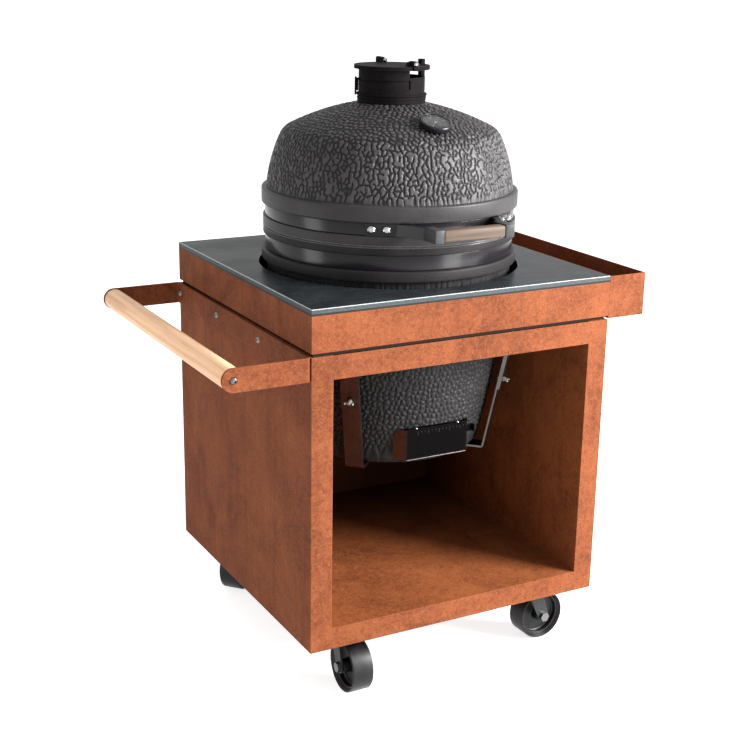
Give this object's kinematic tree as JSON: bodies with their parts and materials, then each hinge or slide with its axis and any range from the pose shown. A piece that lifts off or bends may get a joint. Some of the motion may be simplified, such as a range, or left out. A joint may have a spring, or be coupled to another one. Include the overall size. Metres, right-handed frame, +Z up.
{
  "type": "kamado grill table",
  "caption": "Square weathering-steel outdoor kitchen table on swivel casters with a ceramic kamado grill set in its worktop, a side tray and a wooden push bar.",
  "frame": {"origin": "middle of the whole object's outline seen from above, on the floor", "axes": "+Z up, +X towards the side tray, -X towards the push bar, -Y towards the open front and the grill's handle"},
  "size_m": [0.9586, 0.7046, 1.2554],
  "materials": {
    "corten": "weathered, matte",
    "corten_inside": "weathered, matte",
    "dark_plate": "satin",
    "worktop": "honed",
    "beech": "oiled",
    "oak": "oiled",
    "bright_steel": "polished",
    "strap_steel": "brushed",
    "caster_steel": "zinc plated",
    "wheel_plastic": "satin",
    "ceramic": "satin glaze",
    "band_steel": "gloss",
    "felt": "matte",
    "hinge_steel": "satin",
    "spring_steel": "satin",
    "brushed_blocks": "brushed",
    "dial_case": "satin",
    "needle": "matte",
    "lens": "clear",
    "vent_iron": "satin powder coat",
    "draft_steel": "gloss",
    "fire_clay": "matte",
    "grate_iron": "matte"
  },
  "bodies": {
    "table": {"cabinet_front_frame": "corten", "cabinet_left_panel": "corten", "cabinet_right_panel": "corten", "cabinet_back_panel": "corten", "cabinet_bottom_panel": "corten", "cabinet_liner": "corten_inside", "top_rim": "corten", "support_frame": "dark_plate", "worktop": "worktop", "side_tray": "corten", "handle_bracket": "corten", "handle_bar": "beech", "table_bolts": "bright_steel", "strap_bolts": "bright_steel", "kamado_base": "ceramic", "base_band": "band_steel", "seam_gasket": "felt", "hinge_lower_bracket": "hinge_steel", "hinge_pin": "bright_steel", "hinge_springs": "spring_steel", "draft_housing": "draft_steel", "fire_bowl": "fire_clay", "fire_ring": "fire_clay", "charcoal_grate": "grate_iron", "cooking_grate": "grate_iron", "strap_upper_back_right": "strap_steel", "strap_lower_back_right": "strap_steel", "strap_upper_back_left": "strap_steel", "strap_lower_back_left": "strap_steel", "strap_upper_front_left": "strap_steel", "strap_lower_front_left": "strap_steel", "strap_upper_front_right": "strap_steel", "strap_lower_front_right": "strap_steel", "caster_front_left_plate": "caster_steel", "caster_front_right_plate": "caster_steel", "caster_back_left_plate": "caster_steel", "caster_back_right_plate": "caster_steel"},
    "dome": {"kamado_dome": "ceramic", "dome_band": "band_steel", "hinge_upper_bracket": "hinge_steel", "kamado_handle_arms": "brushed_blocks", "kamado_handle_grip": "oak", "dome_bolts": "bright_steel", "thermometer_body": "dial_case", "thermometer_lens": "lens", "vent_collar": "vent_iron", "vent_body": "vent_iron"},
    "needle": {"thermometer_needle": "needle"},
    "vent_lid": {"vent_flap": "vent_iron"},
    "vent_slide": {"vent_shutter": "vent_iron"},
    "door": {"draft_door": "draft_steel"},
    "fork_front_left": {"caster_front_left_fork": "caster_steel"},
    "wheel_front_left": {"caster_front_left_wheel": "wheel_plastic"},
    "fork_front_right": {"caster_front_right_fork": "caster_steel"},
    "wheel_front_right": {"caster_front_right_wheel": "wheel_plastic"},
    "fork_back_left": {"caster_back_left_fork": "caster_steel"},
    "wheel_back_left": {"caster_back_left_wheel": "wheel_plastic"},
    "fork_back_right": {"caster_back_right_fork": "caster_steel"},
    "wheel_back_right": {"caster_back_right_wheel": "wheel_plastic"}
  },
  "joints": [
    {"name": "dome_hinge", "type": "hinge", "parent": "table", "child": "dome", "pos_m": [0.04425, 0.30375, 0.918], "axis": [-1, 0, 0], "range_deg": [0, 78]},
    {"name": "vent_lid_hinge", "type": "hinge", "parent": "dome", "child": "vent_lid", "pos_m": [0.05525, -0.00925, 1.249], "axis": [0, 1, 0], "range_deg": [0, 180]},
    {"name": "vent_slide_turn", "type": "hinge", "parent": "dome", "child": "vent_slide", "pos_m": [0.04425, -0.00925, 1.2], "axis": [0, 0, 1], "range_deg": [0, 122]},
    {"name": "needle_turn", "type": "hinge", "parent": "dome", "child": "needle", "pos_m": [0.04425, -0.18775, 1.13614], "axis": [0, 0.3802, -0.9249], "range_deg": [0, 270]},
    {"name": "draft_door_slide", "type": "slide", "parent": "table", "child": "door", "axis": [1, 0, 0], "range_m": [0, 0.11]},
    {"name": "swivel_front_left", "type": "hinge", "parent": "table", "child": "fork_front_left", "pos_m": [-0.18175, -0.26625, 0.115], "axis": [0, 0, 1], "continuous": true},
    {"name": "roll_front_left", "type": "hinge", "parent": "fork_front_left", "child": "wheel_front_left", "pos_m": [-0.18224, -0.29425, 0.055], "axis": [0.9998, -0.0175, 0], "continuous": true},
    {"name": "swivel_front_right", "type": "hinge", "parent": "table", "child": "fork_front_right", "pos_m": [0.27025, -0.26625, 0.115], "axis": [0, 0, 1], "continuous": true},
    {"name": "roll_front_right", "type": "hinge", "parent": "fork_front_right", "child": "wheel_front_right", "pos_m": [0.29823, -0.26527, 0.055], "axis": [-0.0349, 0.9994, 0], "continuous": true},
    {"name": "swivel_back_left", "type": "hinge", "parent": "table", "child": "fork_back_left", "pos_m": [-0.18175, 0.27375, 0.115], "axis": [0, 0, 1], "continuous": true},
    {"name": "roll_back_left", "type": "hinge", "parent": "fork_back_left", "child": "wheel_back_left", "pos_m": [-0.20288, 0.25538, 0.055], "axis": [0.6561, -0.7547, 0], "continuous": true},
    {"name": "swivel_back_right", "type": "hinge", "parent": "table", "child": "fork_back_right", "pos_m": [0.27025, 0.27375, 0.115], "axis": [0, 0, 1], "continuous": true},
    {"name": "roll_back_right", "type": "hinge", "parent": "fork_back_right", "child": "wheel_back_right", "pos_m": [0.24394, 0.28333, 0.055], "axis": [-0.342, -0.9397, 0], "continuous": true}
  ]
}
